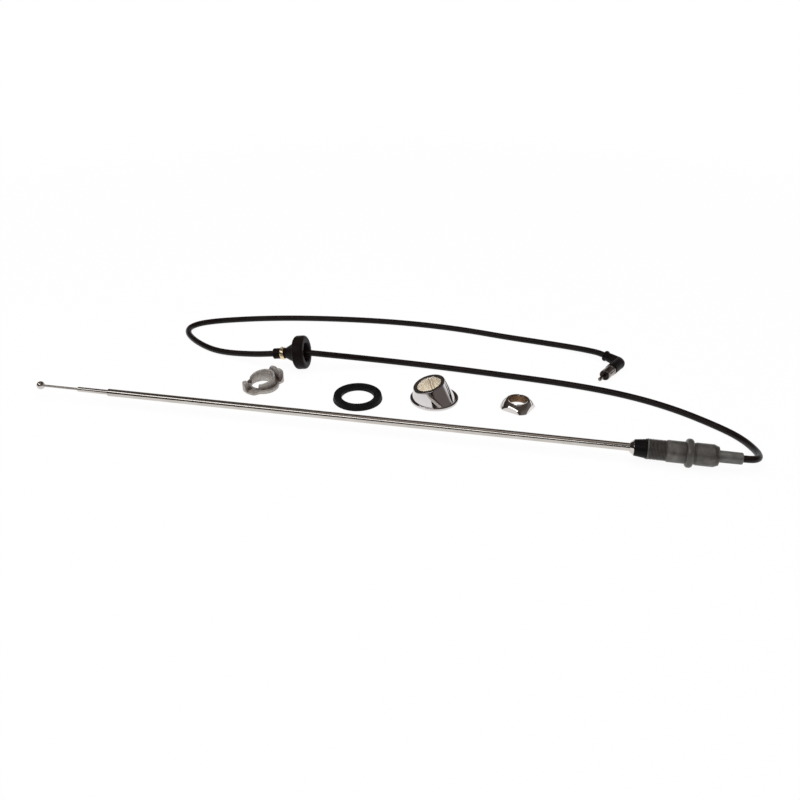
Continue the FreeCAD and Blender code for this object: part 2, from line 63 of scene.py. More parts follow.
def meshFromGrid(name, grid, material, closedRows=True, bands=None, grime=None):
    # quads join each grid point with its neighbours in the next row and column; columns run round,
    # and so do closed rows
    rows, columns = grid.shape[:2]
    rowCount = rows if closedRows else rows - 1
    r, c = np.meshgrid(np.arange(rowCount), np.arange(columns), indexing="ij")
    nextRow = (r + 1) % rows
    nextColumn = (c + 1) % columns
    quads = np.stack([r * columns + c, r * columns + nextColumn,
                      nextRow * columns + nextColumn, nextRow * columns + c], axis=-1).reshape(-1, 4)
    mesh = bpy.data.meshes.new(name)
    mesh.from_pydata(grid.reshape(-1, 3).tolist(), [], quads.tolist())
    if bands is not None:    # a material index for each quad
        mesh.polygons.foreach_set("material_index", np.asarray(bands, np.int32)[:rowCount].ravel())
    if grime is not None:    # how much painted shade each point gets, for the material
        layer = mesh.attributes.new("grime", "FLOAT", "POINT")
        layer.data.foreach_set("value", np.asarray(grime, np.float32).ravel())
    mesh.polygons.foreach_set("use_smooth", np.ones(len(quads), bool))
    for each in material if isinstance(material, list) else [material]:
        mesh.materials.append(each)
    return mesh


def finishMesh(mesh):
    # merges the points of poles and seams and turns every face outwards
    work = bmesh.new()
    work.from_mesh(mesh)
    bmesh.ops.remove_doubles(work, verts=work.verts, dist=joining["within"])
    bmesh.ops.dissolve_degenerate(work, edges=work.edges, dist=joining["tinyEdge"])
    bmesh.ops.recalc_face_normals(work, faces=work.faces)
    work.to_mesh(mesh)
    work.free()
    mesh.update()


def addObject(name, data):
    holder = bpy.data.objects.new(name, data)
    bpy.context.scene.collection.objects.link(holder)
    return holder


def addPiece(name, shape, body, slot, *replaced):
    piece = addObject(name, shape)
    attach(piece, body)
    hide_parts(*replaced)
    return piece


def addSurface(name, grid, material, slot, replaced, body="base", **options):
    # a grid as one finished piece
    mesh = meshFromGrid(name, grid, material, **options)
    finishMesh(mesh)
    return addPiece(name, mesh, body, slot, replaced)


rounding = dict(sideShare=0.98, arcShare=0.97, holdAt=1.15, shortest=1e-9)


def rounded(corners, steps=4):
    # each corner (along, radius, fillet) becomes an arc that is tangent to both its sides, with a
    # holding point beside each end of the arc; two corners share the side between them by their
    # fillets; a corner without a fillet stays sharp
    points = np.array([corner[:2] for corner in corners], float)
    fillets = [corner[2] if len(corner) > 2 else 0 for corner in corners]
    outline = []
    for i, fillet in enumerate(fillets):
        after = (i + 1) % len(points)
        back, ahead = points[i - 1] - points[i], points[after] - points[i]
        backLength, aheadLength = np.hypot(*back), np.hypot(*ahead)
        if fillet <= 0 or min(backLength, aheadLength) < rounding["shortest"]:
            outline.append(points[i])
            continue
        backRoom = rounding["sideShare"] * backLength * fillet / (fillet + fillets[i - 1])
        aheadRoom = rounding["sideShare"] * aheadLength * fillet / (fillet + fillets[after])
        back, ahead = back / backLength, ahead / aheadLength
        turn = math.acos(max(-1, min(1, float(back @ ahead))))
        reach = min(fillet / math.tan(turn / 2), rounding["arcShare"] * min(backRoom, aheadRoom))
        radius = reach * math.tan(turn / 2)
        middle = (back + ahead) / np.hypot(*(back + ahead))
        centre = points[i] + middle * radius / math.sin(turn / 2)
        first = points[i] + back * reach - centre
        last = points[i] + ahead * reach - centre
        t = np.linspace(0, 1, steps + 1)[:, None]
        sweep = math.acos(max(-1, min(1, float(first @ last) / (radius * radius))))
        arc = (np.sin((1 - t) * sweep) * first + np.sin(t * sweep) * last) / math.sin(sweep)
        hold = reach * rounding["holdAt"]
        outline.append(points[i] + back * min(hold, backRoom))
        outline.extend(centre + arc)
        outline.append(points[i] + ahead * min(hold, aheadRoom))
    return np.array(outline)


def splitLong(outline, longest, closed=True):
    # adds points on straight stretches so that no row of the surface is longer than this
    following = np.roll(outline, -1, axis=0) if closed else outline[1:]
    result = []
    for a, b in zip(outline, following):
        count = max(1, int(np.ceil(np.hypot(*(b - a)) / longest)))
        result.append(a + (b - a) * (np.arange(count) / count)[:, None])
    return np.concatenate(result if closed else result + [outline[-1:]])


def fineRows(outline, low, high, step):
    # puts evenly spaced rows into the outward stretch that runs from one place to the other
    following = np.roll(outline, -1, axis=0)
    at = int(np.argmax((outline[:, 0] <= low) & (following[:, 0] >= high)))
    along = np.arange(low, high, step)
    share = ((along - outline[at, 0]) / (following[at, 0] - outline[at, 0]))[:, None]
    return np.insert(outline, at + 1, outline[at] + (following[at] - outline[at]) * share, axis=0)


def ringAngles(columns):
    # one row of evenly spaced angles, all the way round
    return np.linspace(0, 2 * np.pi, columns, endpoint=False)[None, :]


def turnedGrid(outline, columns=96, radiusOf=None):
    # surface of revolution about X: point (along, radius) at angle a is
    # (along, radius cos a, radius sin a)
    along = np.repeat(outline[:, :1], columns, axis=1)
    radius = np.repeat(outline[:, 1:2], columns, axis=1)
    angle = np.repeat(ringAngles(columns), len(outline), axis=0)
    if radiusOf is not None:
        radius = radiusOf(along, radius, angle)
    return np.stack([along, radius * np.cos(angle), radius * np.sin(angle)], axis=-1)


def placeGrid(grid, start, direction):
    # millimetres along X become metres along the direction, from the start point
    side = up.cross(direction).normalized()
    turn = Matrix((direction, side, direction.cross(side))).transposed()
    return grid * mm @ np.array(turn).T + np.array(start)


def tooth(phase):
    # triangle wave between 0 and 1
    return 1 - np.abs(2 * (phase - np.floor(phase)) - 1)


def softStep(value, start, end):
    # 0 before the start and 1 past the end, with three squares less two cubes of the share between
    t = np.clip((value - start) / (end - start), 0, 1)
    return t * t * (3 - 2 * t)


def softSpan(value, rise, fall):
    # 1 from the end of the rise to the start of the fall, 0 outside them
    return softStep(value, *rise) * (1 - softStep(value, *fall))


# shader tools

def makeGroup(name, inputs, outputs):
    # shader group whose inputs and outputs are all plain values
    group = bpy.data.node_groups.new(name, "ShaderNodeTree")
    for label, default in inputs.items():
        socket = group.interface.new_socket(name=label, in_out="INPUT", socket_type="NodeSocketFloat")
        socket.default_value = default
    for label in outputs:
        group.interface.new_socket(name=label, in_out="OUTPUT", socket_type="NodeSocketFloat")
    return group, group.nodes.new("NodeGroupInput"), group.nodes.new("NodeGroupOutput")


def connect(tree, node, links):
    for key, source in links.items():
        tree.links.new(source, node.inputs[key])


def addNode(tree, kind, values=None, links=None, **settings):
    # values are set on the sockets, links come from other sockets, settings are the node's own
    node = tree.nodes.new("ShaderNode" + kind)
    for key, value in settings.items():
        setattr(node, key, value)
    for key, value in (values or {}).items():
        node.inputs[key].default_value = value
    connect(tree, node, links or {})
    return node


def maths(tree, operation, first, second, **settings):
    node = addNode(tree, "Math", None, {0: first, 1: second}, operation=operation, **settings)
    return node.outputs[0]


def twoTone(tree, mask, first, second):
    # blends two plain colours by a mask
    blend = addNode(tree, "Mix", None, {"Factor": mask}, data_type="RGBA")
    blend.inputs["A"].default_value = (*first, 1)
    blend.inputs["B"].default_value = (*second, 1)
    return blend.outputs["Result"]


def overlay(tree, mask, under, over):
    # lays one plain colour over a coloured socket
    blend = addNode(tree, "Mix", None, {"Factor": mask, "A": under}, data_type="RGBA")
    blend.inputs["B"].default_value = (*over, 1)
    return blend.outputs["Result"]


def between(tree, mask, low, high, fromMin=0.3, fromMax=0.7, **settings):
    # spreads one range of a mask over another range
    spread = addNode(tree, "MapRange", {"From Min": fromMin, "From Max": fromMax,
                                                  "To Min": low, "To Max": high},
                     {"Value": mask}, **settings)
    return spread.outputs[0]


def bumpFrom(tree, height, distance, strength=0.5):
    bump = addNode(tree, "Bump", {"Strength": strength, "Distance": distance},
                   {"Height": height})
    return bump.outputs["Normal"]


def makeStreaks():
    # noise drawn out along X: marks of drawing and polishing that run with the mast
    group, inlet, outlet = makeGroup("drawnStreaks", {"Scale": 900.0, "Stretch": 0.02},
                                     ["Streak", "Cloud"])
    place = addNode(group, "TexCoord").outputs["Object"]
    stretch = addNode(group, "CombineXYZ", {"Y": 1.0, "Z": 1.0},
                      {"X": inlet.outputs["Stretch"]})
    drawn = addNode(group, "VectorMath", None, {0: place, 1: stretch.outputs[0]},
                    operation="MULTIPLY")
    fine = addNode(group, "TexNoise", {"Detail": 4.0, "Roughness": 0.6},
                   {"Vector": drawn.outputs[0], "Scale": inlet.outputs["Scale"]})
    cloud = addNode(group, "TexNoise", {"Scale": 60.0, "Detail": 3.0}, {"Vector": place})
    connect(group, outlet, {"Streak": fine.outputs["Fac"], "Cloud": cloud.outputs["Fac"]})
    return group


def makeGrain():
    # fine pitting over broad blotches, for castings, rubber and moulded plastic; dust lies in the
    # lighter blotches of faces that look up
    group, inlet, outlet = makeGroup("mouldGrain", {"Grain Scale": 1500.0, "Blotch Scale": 120.0},
                                     ["Grain", "Blotch", "Dust"])
    place = addNode(group, "TexCoord").outputs["Object"]
    facing = addNode(group, "NewGeometry").outputs["Normal"]
    grain = addNode(group, "TexNoise", {"Detail": 3.0, "Roughness": 0.55},
                    {"Vector": place, "Scale": inlet.outputs["Grain Scale"]})
    blotch = addNode(group, "TexNoise", {"Detail": 5.0, "Roughness": 0.6},
                     {"Vector": place, "Scale": inlet.outputs["Blotch Scale"]})
    height = addNode(group, "SeparateXYZ", None, {0: facing})
    top = between(group, height.outputs["Z"], 0, 1, fromMin=0.1, fromMax=1.0)
    patch = between(group, blotch.outputs["Fac"], 0, 1, fromMin=0.42, fromMax=0.7)
    connect(group, outlet, {"Grain": grain.outputs["Fac"], "Blotch": blotch.outputs["Fac"],
                            "Dust": maths(group, "MULTIPLY", top, patch)})
    return group


drawnStreaks = makeStreaks()
mouldGrain = makeGrain()


def newMaterial(name, metallic, specular=0.5):
    material = bpy.data.materials.new(name)
    material.use_nodes = True
    shader = material.node_tree.nodes["Principled BSDF"]
    shader.inputs["Metallic"].default_value = metallic
    shader.inputs["Specular IOR Level"].default_value = specular
    return material, material.node_tree, shader


def makePlated(name, bright, dull, smooth, worn, stretch=0.02, bump=0.03, bumpDepth=0.00001):
    # plated metal: polishing streaks in the gloss, a faint cloud in the colour
    material, tree, shader = newMaterial(name, 1.0)
    marks = addNode(tree, "Group", {"Stretch": stretch}, node_tree=drawnStreaks)
    streak = marks.outputs["Streak"]
    colour = twoTone(tree, between(tree, marks.outputs["Cloud"], 0, 1), bright, dull)
    connect(tree, shader, {"Base Color": colour, "Roughness": between(tree, streak, smooth, worn),
                           "Normal": bumpFrom(tree, streak, bumpDepth, bump)})
    return material


def makeMoulded(name, dark, pale, dusty, smooth, rough, grainDepth, metallic=0.0, specular=0.5,
                grainScale=1500.0, blotchScale=120.0, dustAmount=0.35, grime=None,
                patchiness=(0.55, 1.25)):
    # castings and mouldings: blotchy colour, a little dust on upward faces, patchy painted shade in
    # recesses, fine pitting
    material, tree, shader = newMaterial(name, metallic, specular)
    marks = addNode(tree, "Group", {"Grain Scale": grainScale, "Blotch Scale": blotchScale},
                    node_tree=mouldGrain)
    grain, blotch = marks.outputs["Grain"], marks.outputs["Blotch"]
    colour = twoTone(tree, between(tree, blotch, 0, 1), dark, pale)
    settled = between(tree, marks.outputs["Dust"], 0, dustAmount, fromMin=0, fromMax=1)
    colour = overlay(tree, settled, colour, dusty)
    if grime is not None:
        # painted shade: dark where the point attribute says, laid on in patches
        shadeAmount = addNode(tree, "Attribute", attribute_name="grime").outputs["Fac"]
        patchy = maths(tree, "MULTIPLY", shadeAmount, between(tree, blotch, *patchiness), use_clamp=True)
        colour = overlay(tree, patchy, colour, grime)
    connect(tree, shader, {"Base Color": colour, "Roughness": between(tree, grain, smooth, rough),
                           "Normal": bumpFrom(tree, grain, grainDepth)})
    return material


# plated finishes: bright and dull colour, smoothest and roughest gloss
chromeSteel = makePlated("chromeSteel", (0.63, 0.595, 0.56), (0.51, 0.475, 0.44), 0.08, 0.2)
whipSteel = makePlated("whipSteel", (0.45, 0.415, 0.385), (0.34, 0.31, 0.285), 0.1, 0.22)
chromeBright = makePlated("chromeBright", (0.66, 0.62, 0.59), (0.56, 0.52, 0.50), 0.05, 0.14)
padChrome = makePlated("padChrome", (0.70, 0.67, 0.66), (0.62, 0.59, 0.59), 0.03, 0.07, stretch=1.0)
nutChrome = makePlated("nutChrome", (0.74, 0.71, 0.69), (0.64, 0.60, 0.58), 0.04, 0.09, stretch=1.0)
nickelPlug = makePlated("nickelPlug", (0.42, 0.385, 0.355), (0.22, 0.19, 0.17), 0.12, 0.26, stretch=1.0)
brassPlain = makePlated("brassPlain", (0.72, 0.53, 0.22), (0.55, 0.38, 0.14), 0.18, 0.34, stretch=1.0)
bandBrass = makePlated("bandBrass", (0.92, 0.79, 0.54), (0.72, 0.53, 0.27), 0.2, 0.34, stretch=1.0)
nutInside = makePlated("nutInside", (0.36, 0.23, 0.14), (0.20, 0.11, 0.06), 0.3, 0.42, stretch=1.0)

# moulded finishes: dark, pale and dusty colour, smoothest and roughest gloss, depth of pitting in
# metres; the turned and cast zinc and the cream inside also take a colour of painted shade
turnedZinc = makeMoulded(
    "turnedZinc", (0.075, 0.070, 0.064), (0.165, 0.157, 0.146), (0.17, 0.162, 0.151), 0.3, 0.46, 0.00002,
    metallic=0.5, grainScale=1100.0, blotchScale=200.0, grime=(0.02, 0.016, 0.0135))
sleeveZinc = makeMoulded(
    "sleeveZinc", (0.095, 0.093, 0.088), (0.165, 0.162, 0.153), (0.18, 0.177, 0.168), 0.34, 0.5, 0.00002,
    metallic=0.42, grainScale=1100.0, blotchScale=200.0)
castZinc = makeMoulded(
    "castZinc", (0.34, 0.31, 0.285), (0.56, 0.53, 0.50), (0.62, 0.60, 0.58), 0.4, 0.6, 0.00004,
    metallic=0.5, grainScale=900.0, blotchScale=220.0, grime=(0.085, 0.058, 0.048))
collarPlastic = makeMoulded(
    "collarPlastic", (0.002, 0.0017, 0.0017), (0.004, 0.0034, 0.0034), (0.008, 0.007, 0.007),
    0.34, 0.48, 0.00002, specular=0.12)
gasketRubber = makeMoulded(
    "gasketRubber", (0.003, 0.0028, 0.0028), (0.006, 0.0056, 0.0056), (0.013, 0.0125, 0.0125),
    0.42, 0.6, 0.00003, specular=0.12)
grommetRubber = makeMoulded(
    "grommetRubber", (0.005, 0.003, 0.0027), (0.010, 0.006, 0.0054), (0.015, 0.0105, 0.0097),
    0.36, 0.52, 0.00003, specular=0.09)
cableJacket = makeMoulded(
    "cableJacket", (0.004, 0.0023, 0.0021), (0.0085, 0.005, 0.0045), (0.014, 0.0098, 0.009),
    0.28, 0.36, 0.000005, blotchScale=90.0, specular=0.2)
plugPlastic = makeMoulded(
    "plugPlastic", (0.003, 0.002, 0.0019), (0.006, 0.0042, 0.0039), (0.012, 0.0095, 0.009),
    0.36, 0.52, 0.00003, specular=0.13)
brownResin = makeMoulded(
    "brownResin", (0.009, 0.005, 0.0045), (0.02, 0.011, 0.009), (0.03, 0.02, 0.017),
    0.35, 0.5, 0.00003, specular=0.2)
creamInside = makeMoulded(
    "creamInside", (0.93, 0.85, 0.71), (0.96, 0.89, 0.77), (0.96, 0.91, 0.82), 0.35, 0.45, 0.000001,
    grainScale=700.0, blotchScale=40.0, dustAmount=0.1, specular=0.05, grime=(0.20, 0.125, 0.075))
print("materials ready")


# camera: where the photograph was taken from
view = dict(
    azimuth=11.35, elevation=30.0, distance=0.7544, lookAt=(0.0171, 0.0187, 0.0), lens=39.96,
    sensor=36, nearest=0.01)


def addCamera():
    # turned and tipped about the point it looks at, a distance back from it
    camera = bpy.data.cameras.new("camera")
    camera.lens = view["lens"]
    camera.sensor_width = view["sensor"]
    camera.clip_start = view["nearest"]
    holder = addObject("camera", camera)
    turn = Matrix.Rotation(math.radians(view["azimuth"]), 4, "Z")
    tip = Matrix.Rotation(math.radians(90 - view["elevation"]), 4, "X")
    back = Matrix.Translation((0, 0, view["distance"]))
    holder.matrix_world = Matrix.Translation(view["lookAt"]) @ turn @ tip @ back
    bpy.context.scene.camera = holder


addCamera()


# lead: diameter and length in metres; the route in millimetres from where it leaves the tail sleeve,
# with heights; a point without a height lies on the floor
lead = dict(
    diameter=0.0055, length=1.0178, arcSteps=8, steps=10,
    route=[
        (0, 0, 11), (5.7, 0, 11), (10.5, 2.9, 10.1), (13.3, 8.1, 8.8), (13.6, 16.6, 7.1),
        (11.6, 26.6, 5.3), (7.2, 38.4, 3.6), (-1.4, 50.2), (-19.5, 64.1), (-40.5, 77.8),
        (-68, 90.6), (-102, 100.3), (-144, 106.8), (-190, 110.7), (-226, 113.7),
        (-256, 115.3, 2.9), (-290.4, 112.9, 5), (-323, 104.1, 10.2), (-350.5, 95.5, 15),
        (-366.8, 94.6, 15.6), (-401.8, 93.9, 10.6), (-416.6, 95.9, 8.1), (-438.3, 101, 4.5),
        (-455, 105.6, 3.2), (-470, 113.4), (-485, 124.3), (-496, 136.5), (-499.5, 148.6),
        (-493.6, 159.2), (-479.6, 167.6), (-460, 175.2), (-434, 183.3), (-400, 190.9),
        (-358, 196.8), (-313, 200.2), (-270, 199.7), (-232, 195.8), (-195, 188.6), (-170, 184.8),
        (-148, 180.9, 3), (-130, 176.2, 3.8), (-116, 170.2, 5.2), (-104.3, 163.9, 6.5),
        (-99.6, 160.2, 6.2)])
resting = lead["diameter"] / 2 / mm
routePoints = [cableExit + Vector([value * mm for value in (*offset, resting)[:3]])
               for offset in lead["route"]]


def makeLead():
    # round curve along a quadratic spline that starts and ends at the route's ends
    curve = bpy.data.curves.new("leadCurve", "CURVE")
    curve.dimensions = "3D"
    curve.bevel_depth = lead["diameter"] / 2
    curve.bevel_resolution = lead["arcSteps"]
    curve.resolution_u = lead["steps"]
    curve.use_fill_caps = True
    spline = curve.splines.new("NURBS")
    spline.points.add(len(routePoints) - 1)
    flat = np.ones((len(routePoints), 4))
    flat[:, :3] = np.array([tuple(point) for point in routePoints])
    spline.points.foreach_set("co", flat.ravel())
    spline.order_u = 3
    spline.use_endpoint_u = True
    curve.materials.append(cableJacket)
    return addPiece("leadCable", curve, "base", "cable_jacket", "antenna_cable")


leadCable = makeLead()
print("lead laid")


# mast: three sections with rolled-in mouths; millimetres from the ferrule's front along the mast
mast = dict(
    outerRadius=3.1, outerBore=2.65, middleRadius=2.05, middleBore=1.63, whipRadius=1.0,
    slide=0.06, mouthLength=1.2, mouthRounding=0.5, mouthInside=0.15, edge=0.1, ballRadius=3.5,
    ballRows=40, socketRadius=1.04, socketMouth=3.22, socketFloor=0.45, columns=64)


def alongMast(node):
    # where a node starts and ends, in millimetres from the ferrule's front
    low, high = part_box(node)
    return (low.x - ferruleFront.x) / mm, (high.x - ferruleFront.x) / mm


def onMast(name, outline, material, body, slot, replaced, columns=96, radiusOf=None, grimeOf=None,
           **options):
    # a turned piece on the mast's axis; its painted shade goes by the place along it and the radius
    rings = turnedGrid(outline, columns, radiusOf)
    if grimeOf is not None:
        options["grime"] = grimeOf(rings[..., 0], np.hypot(rings[..., 1], rings[..., 2]))
    grid = placeGrid(rings, ferruleFront, mastAxis)
    return addSurface(name, grid, material, slot, replaced, body, **options)


def makeSection(name, node, body, radius, bore, innerRadius):
    # tube outline: rolled mouth that closes on the next section, long wall, open inner end
    front, end = alongMast(node)
    lip, inside, edge = innerRadius + mast["slide"], front + mast["mouthLength"], mast["edge"]
    outline = rounded([
        (front, lip, edge), (front, radius, mast["mouthRounding"]), (end, radius, edge),
        (end, bore, edge), (inside, bore, mast["mouthInside"]), (inside, lip, edge)])
    return onMast(name, outline, chromeSteel, body, "chrome", node, mast["columns"])


def makeWhip():
    # rod outline: from the axis out to the wall, along it, and back to the axis
    front, end = alongMast("whip_rod")
    radius, edge = mast["whipRadius"], mast["edge"]
    outline = rounded([(front, 0), (front, radius, edge), (end, radius, edge), (end, 0)])
    return onMast("whipRod", outline, whipSteel, "whip_section", "chrome", "whip_rod",
                  mast["columns"], closedRows=False)


def makeBall():
    # ball outline: an arc from its front pole round to the socket's edge, then the socket inwards
    radius, hole = mast["ballRadius"], mast["socketRadius"]
    centre = alongMast("tip_ball")[0] + radius
    turn = np.linspace(0, math.pi - math.asin(hole / radius), mast["ballRows"])
    arc = np.stack([centre - radius * np.cos(turn), radius * np.sin(turn)], axis=1)
    floor = centre + mast["socketFloor"]
    socket = np.array([(centre + mast["socketMouth"], hole), (floor, hole), (floor, 0.0)])
    return onMast("tipBall", np.concatenate([arc, socket]), chromeSteel, "whip_section", "chrome",
                  "tip_ball", mast["columns"], closedRows=False)


makeSection("outerTube", "outer_tube", "base", mast["outerRadius"], mast["outerBore"],
            mast["middleRadius"])
makeSection("middleTube", "middle_tube", "middle_section", mast["middleRadius"], mast["middleBore"],
            mast["whipRadius"])
makeWhip()
makeBall()
print("mast drawn")


# base: turned pieces on the mast's axis, corners as (along, radius, fillet); lines of painted shade as
# (along, half width, share)
base = dict(
    columns=192, arcSteps=6, row=0.1,
    ferrule=[(0, 3.13), (0, 3.63, 0.3), (3.2, 6.25, 0.3), (3.2, 4.6), (36, 4.6), (36, 3.13)],
    collar=[(3.2, 4.63), (3.2, 6.25, 0.3), (11.6, 7.3, 0.2), (11.6, 7.7, 0.25), (12.6, 7.7, 0.25),
            (12.6, 6.0), (38, 6.0), (38, 4.63)],
    body=[(12.6, 6.03), (12.6, 8.0, 0.5), (27.3, 8.0), (27.3, 8.4, 0.25), (40.6, 8.4, 0.25),
          (40.6, 11.0, 2.5), (46.2, 11.0, 2.5), (46.2, 8.2, 0.25), (48.0, 8.2, 0.25),
          (48.0, 8.6, 0.35), (60.8, 8.6, 0.9), (63.2, 7.7, 0.4), (63.2, 6.7), (38, 6.7),
          (38, 6.03)],
    ring=[(60.2, 4.68), (60.2, 6.67), (63.2, 6.67), (63.2, 7.4, 0.2), (64.4, 7.4, 0.35),
          (64.4, 4.68)],
    sleeve=[(57.6, 2.78), (57.6, 6.67), (60.2, 6.67), (60.2, 4.65), (64.4, 4.65, 0.1),
            (81.8, 4.5, 0.8), (81.8, 2.78, 0.2)], threadRise=(13.2, 14.0), threadFall=(26.2, 27.0),
    threadPitch=1.0, threadDepth=0.55, threadOver=7.9, keyFloor=6.9, keyHalfWidth=1.5, keyEnd=33.6,
    keyRows=(33.3, 33.85), keyAngle=-105.0, keyFacing=0.5, threadShade=0.12, threadShadeRise=(12.5, 13.2),
    threadShadeFall=(27.0, 27.6), rootShade=0.75, rootRise=(12.6, 13.4), rootFall=(26.6, 27.4), crest=8.05,
    rootDepth=(0.05, 0.5),
    shadeLines=[(40.4, 0.5, 0.7), (43.0, 2.4, 0.3), (47.1, 1.0, 0.9), (61.6, 0.7, 0.85),
               (63.2, 0.5, 0.9)])


def bodyRadius(along, radius, angle):
    # thread: a triangle wave along a helix cuts into the front stretch and runs out at both ends;
    # keyway: the radius stops at a flat floor inside the slot's width
    phase = along / base["threadPitch"] - angle / (2 * np.pi)
    runOut = softSpan(along, base["threadRise"], base["threadFall"])
    threaded = np.where(radius > base["threadOver"], runOut, 0)
    cut = radius - base["threadDepth"] * (1 - tooth(phase)) * threaded
    turned = angle - math.radians(base["keyAngle"])
    facing = np.cos(turned)
    inSlot = (np.abs(radius * np.sin(turned)) < base["keyHalfWidth"]) \
        & (facing > base["keyFacing"]) & (along < base["keyEnd"]) & (radius > base["keyFloor"])
    floor = base["keyFloor"] / np.maximum(facing, base["keyFacing"])
    return np.where(inSlot, np.minimum(cut, floor), cut)


def bodyShade(along, radius):
    # painted shade: faint over the whole thread and more in its roots; lines of painted shade, each a
    # bell curve, in the step, across and behind the flange and at the crimped edge
    threadShade = base["threadShade"] * softSpan(along, base["threadShadeRise"], base["threadShadeFall"])
    roots = base["rootShade"] * softStep(base["crest"] - radius, *base["rootDepth"]) \
        * softSpan(along, base["rootRise"], base["rootFall"])
    lines = [np.exp(-((along - place) / width) ** 2) * share
             for place, width, share in base["shadeLines"]]
    return np.clip(np.maximum.reduce([threadShade + roots] + lines), 0, 1)


def makeBase():
    # each outline is turned about the mast's axis; the body has fine rows for thread and keyway
    onMast("mastFerrule", rounded(base["ferrule"]), chromeBright, "base", "chrome", "mast_ferrule")
    onMast("insulatorCollar", rounded(base["collar"]), collarPlastic, "base",
           "collar_plastic", "insulator_collar")
    outline = rounded(base["body"], base["arcSteps"])
    outline = fineRows(outline, base["threadRise"][0], base["threadFall"][1], base["row"])
    outline = fineRows(outline, *base["keyRows"], base["row"])
    onMast("baseBody", outline, turnedZinc, "base", "zinc", "base_body", base["columns"], bodyRadius,
           bodyShade)
    onMast("endRing", rounded(base["ring"]), turnedZinc, "base", "zinc", "end_ring")
    onMast("tailSleeve", rounded(base["sleeve"]), sleeveZinc, "base", "zinc", "tail_sleeve")


makeBase()
print("base turned")


# bell grommet on the lead: corners from the neck's end towards the mouth
bell = dict(
    run=19, offset=8.0, columns=128, arcSteps=6,
    outline=[(0, 2.78, 0.2), (0, 4.8, 0.7), (12.0, 4.8, 1.6), (20.0, 9.2, 0.7), (21.6, 15.1, 2.4),
             (31.3, 15.1, 2.6), (31.3, 9.7, 1.1), (29.9, 8.3, 1.1), (19.3, 5.5, 0.8),
             (19.3, 2.78, 0.1)],
    band=[(6.9, 4.83), (6.9, 5.33, 0.3), (10.3, 5.33, 0.3), (10.3, 4.83)], bandColumns=192,
    bandRow=0.25, bandOver=5.0, bandMiddle=8.6, bulge=0.15, bulgeFade=(0.5, 1.7), earRadius=0.95,
    earFade=(1.0, 1.4))


def bandRadius(along, radius, angle):
    # the band swells a little at its middle, and a half-round ear stands out above and below
    fromMiddle = np.abs(along - bell["bandMiddle"])
    sideways = radius * np.cos(angle)
    ear = np.sqrt(np.maximum(0, bell["earRadius"] ** 2 - sideways ** 2))
    ear = ear * (1 - softStep(fromMiddle, *bell["earFade"]))
    swell = bell["bulge"] * (1 - softStep(fromMiddle, *bell["bulgeFade"]))
    return radius + np.where(radius > bell["bandOver"], np.maximum(ear, swell), 0)


def makeBell():
    # bell and band are turned about the lead's line through them
    far, near = routePoints[bell["run"]], routePoints[bell["run"] + 1]
    axis = (far - near).normalized()
    start = near + axis * bell["offset"] * mm
    rings = turnedGrid(rounded(bell["outline"], bell["arcSteps"]), bell["columns"])
    strip = splitLong(rounded(bell["band"]), bell["bandRow"])
    bandRings = turnedGrid(strip, bell["bandColumns"], bandRadius)
    return [addSurface("bellGrommet", placeGrid(rings, start, axis), grommetRubber,
                       "grommet_rubber", "cable_grommet"),
            addSurface("grommetBand", placeGrid(bandRings, start, axis), bandBrass, "brass",
                       "grommet_band")]


leadPieces = makeBell()
print("grommet moulded")


# right-angle plug on the lead's end: a moulded elbow, a slotted sleeve, an insulator and a pin
plug = dict(
    boot=16.5, heading=-116.0, bendRadius=5.5, elbowFullness=0.22, barrelFront=18.5, columns=96,
    row=0.5, lipRadius=4.9, lipLength=1.8, lipSlope=0.3, neckRadius=4.0, bootRadius=4.65,
    barrelRadius=5.2, barrelLead=1.0, stepRadius=4.8, stepLength=2.6,
    sleeve=[(18.3, 4.25), (18.3, 5.1, 0.2), (19.9, 5.1, 0.3), (19.9, 4.75, 0.1), (30.4, 4.75, 0.3),
            (30.4, 4.25, 0.1)], sleeveColumns=240, sleeveRadius=4.75, wallOver=4.6, slotCount=6,
    slotAngle=22.5, slotHalfWidth=0.45, slotFrom=21.3, slotTo=27.8, slotFloor=4.3,
    slotRows=(21.0, 28.1), slotRow=0.1,
    insulator=[(18.6, 1.23), (18.6, 4.22), (30.0, 4.22, 0.3), (29.6, 2.6, 0.4), (29.9, 1.23, 0.1)],
    pin=[(18.8, 0), (18.8, 1.2), (36.3, 1.2, 0.2), (36.3, 1.7, 0.2), (40.5, 1.7, 1.2), (40.5, 0)],
    pinColumns=64, pinSteps=6)


def plugWay():
    # the lead's end, the way into the boot, the level way out along the pin and the corner between
    # them; lengths along the elbow's middle: where its arc starts and ends, and the barrel's front
    end, before = routePoints[-1], routePoints[-2]
    along = (end - before).normalized()
    heading = math.radians(plug["heading"])
    out = Vector((math.cos(heading), math.sin(heading), 0))
    turn = along.angle(out)
    short = plug["bendRadius"] * math.tan(turn / 2)
    start = plug["boot"] - short
    finish = start + plug["bendRadius"] * turn
    return {"end": end, "along": along, "out": out, "corner": end + along * plug["boot"] * mm,
            "turn": turn, "start": start, "finish": finish,
            "front": finish + plug["barrelFront"] - short}


